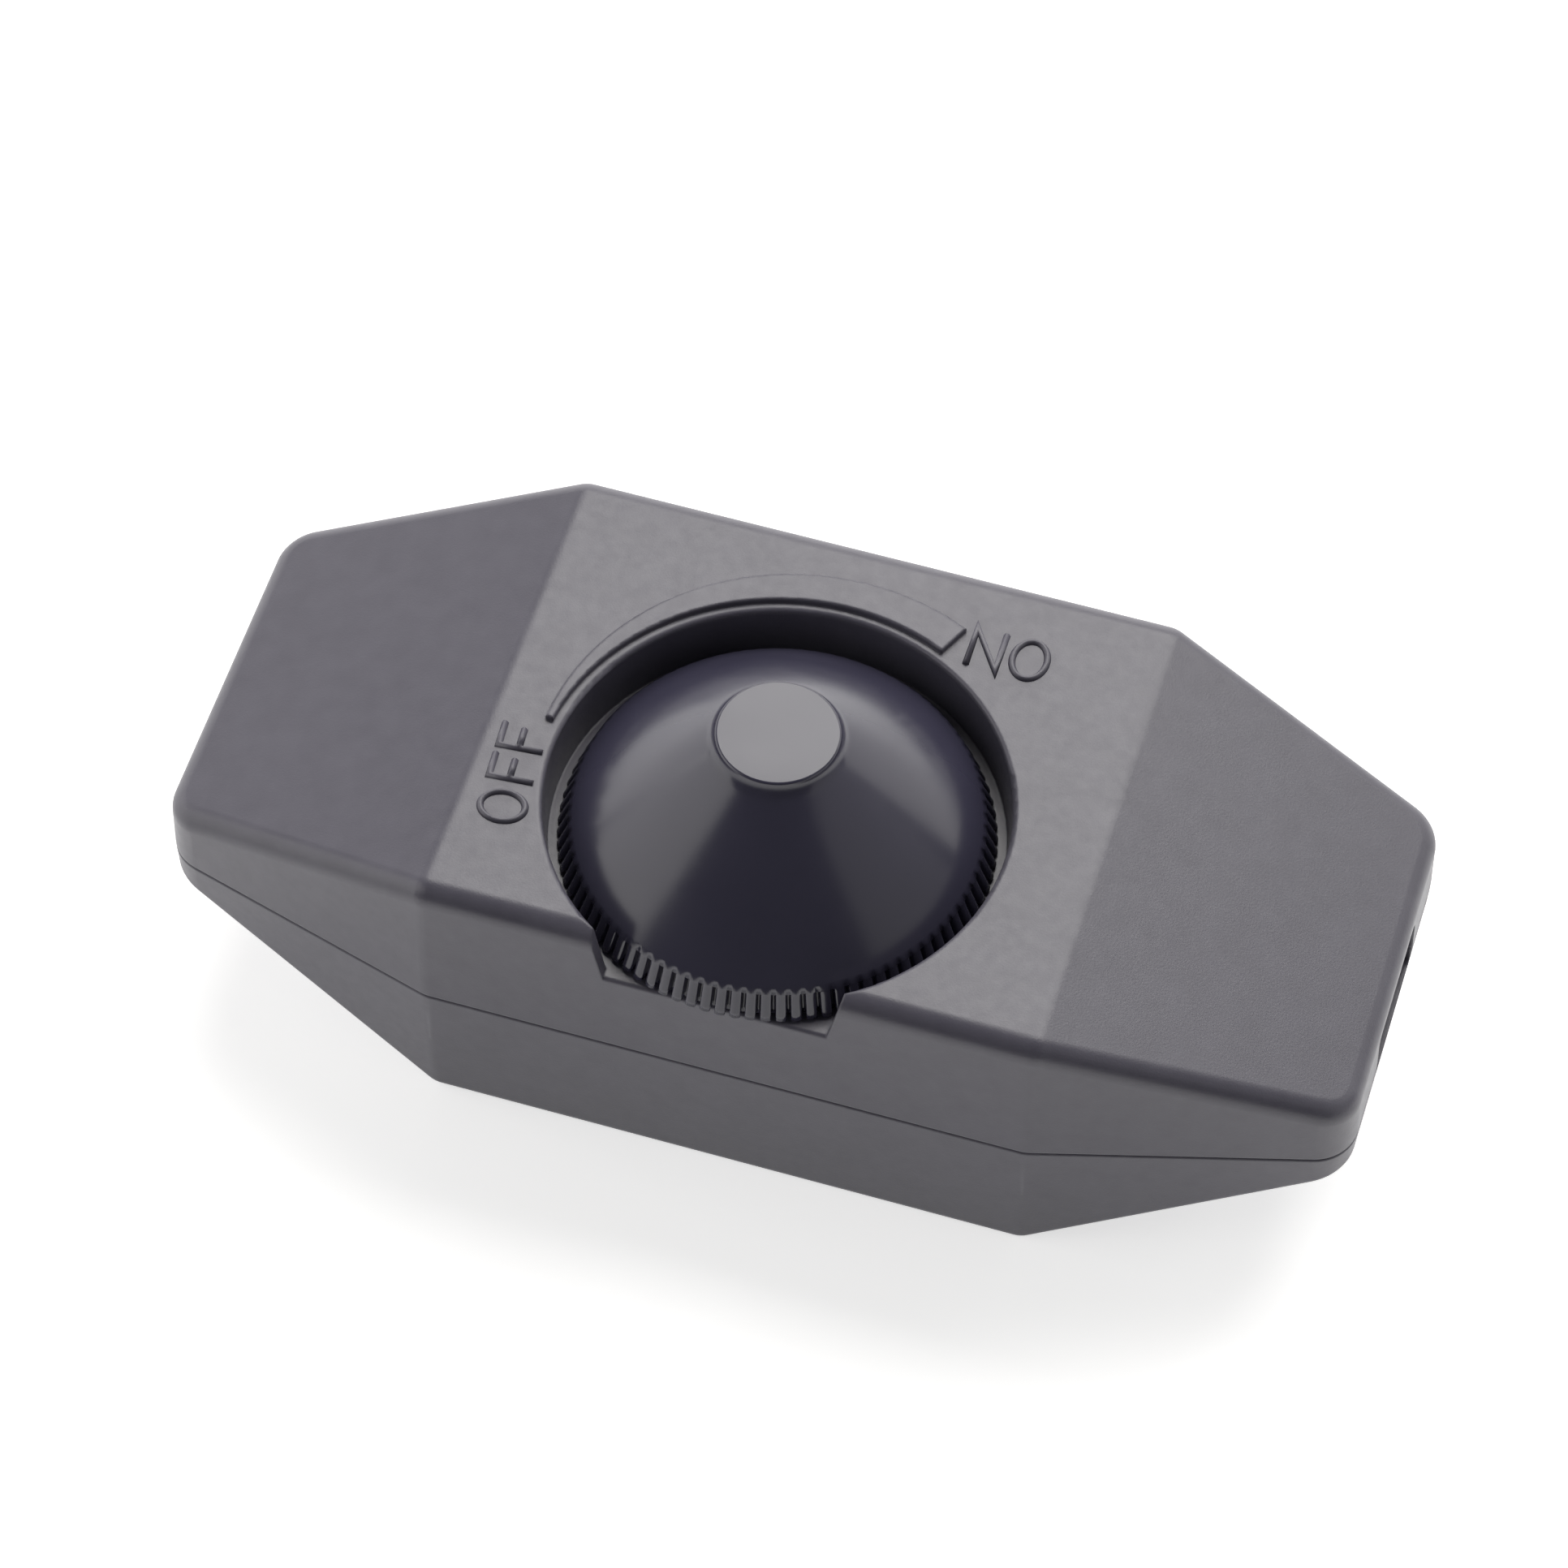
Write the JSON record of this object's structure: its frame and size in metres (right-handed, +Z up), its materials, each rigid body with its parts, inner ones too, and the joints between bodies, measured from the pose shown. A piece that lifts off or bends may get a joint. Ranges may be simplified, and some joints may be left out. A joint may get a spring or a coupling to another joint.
{
  "type": "lamp dimmer switch",
  "caption": "In-line rotary dimmer for a lamp cord: faceted two-part plastic housing with a domed, rib-edged knob in a round well and a cord inlet at each end.",
  "frame": {"origin": "middle of the flat underside", "axes": "+X along the cord, -Y towards the side with the thumb window, +Z up out of the knob"},
  "size_m": [0.085, 0.0383, 0.0326],
  "materials": {
    "shell_plastic": "fine satin grain, charcoal with a slight violet cast",
    "knob_plastic": "polished black",
    "spindle_plastic": "natural acetal",
    "spring_brass": "thin spring sheet",
    "zinc_steel": "zinc plated",
    "phenolic": "pressed phenolic board",
    "bush_brass": "turned",
    "carbon_track": "printed carbon",
    "tinned_metal": "tinned",
    "board_laminate": "bare laminate",
    "component_black": "moulded epoxy",
    "capacitor_yellow": "moulded box",
    "capacitor_red": "moulded box",
    "resistor_coat": "lacquered",
    "diac_glass": "lacquered glass",
    "ferrite": "sintered ferrite",
    "enamelled_copper": "enamelled copper",
    "terminal_green": "moulded",
    "cage_brass": "nickel-free brass",
    "clamp_plastic": "moulded",
    "screw_steel": "black zinc plated"
  },
  "bodies": {
    "housing": {"top_cover": "shell_plastic", "bottom_cover": "shell_plastic", "control_can": "zinc_steel", "control_base": "phenolic", "control_bush": "bush_brass", "resistive_track": "carbon_track", "control_pins": "tinned_metal", "circuit_board": "board_laminate", "triac_body": "component_black", "triac_frame": "tinned_metal", "suppression_capacitor": "capacitor_yellow", "timing_capacitor": "capacitor_red", "component_leads": "tinned_metal", "resistors": "resistor_coat", "diac": "diac_glass", "choke_core": "ferrite", "choke_winding": "enamelled_copper", "terminal_block_left": "terminal_green", "terminal_block_right": "terminal_green", "terminal_cages": "cage_brass", "terminal_screws": "zinc_steel", "cord_clamp_left": "clamp_plastic", "cord_clamp_right": "clamp_plastic", "clamp_screws": "zinc_steel", "board_screws": "zinc_steel", "cover_screws": "screw_steel"},
    "dial": {"knob": "knob_plastic", "spindle": "spindle_plastic", "wiper": "spring_brass"}
  },
  "joints": [
    {"name": "knob_turn", "type": "hinge", "parent": "housing", "child": "dial", "pos_m": [-0.0006, -0.00415, 0.0204], "axis": [0, 0, 1], "range_deg": [-300, 0]}
  ]
}
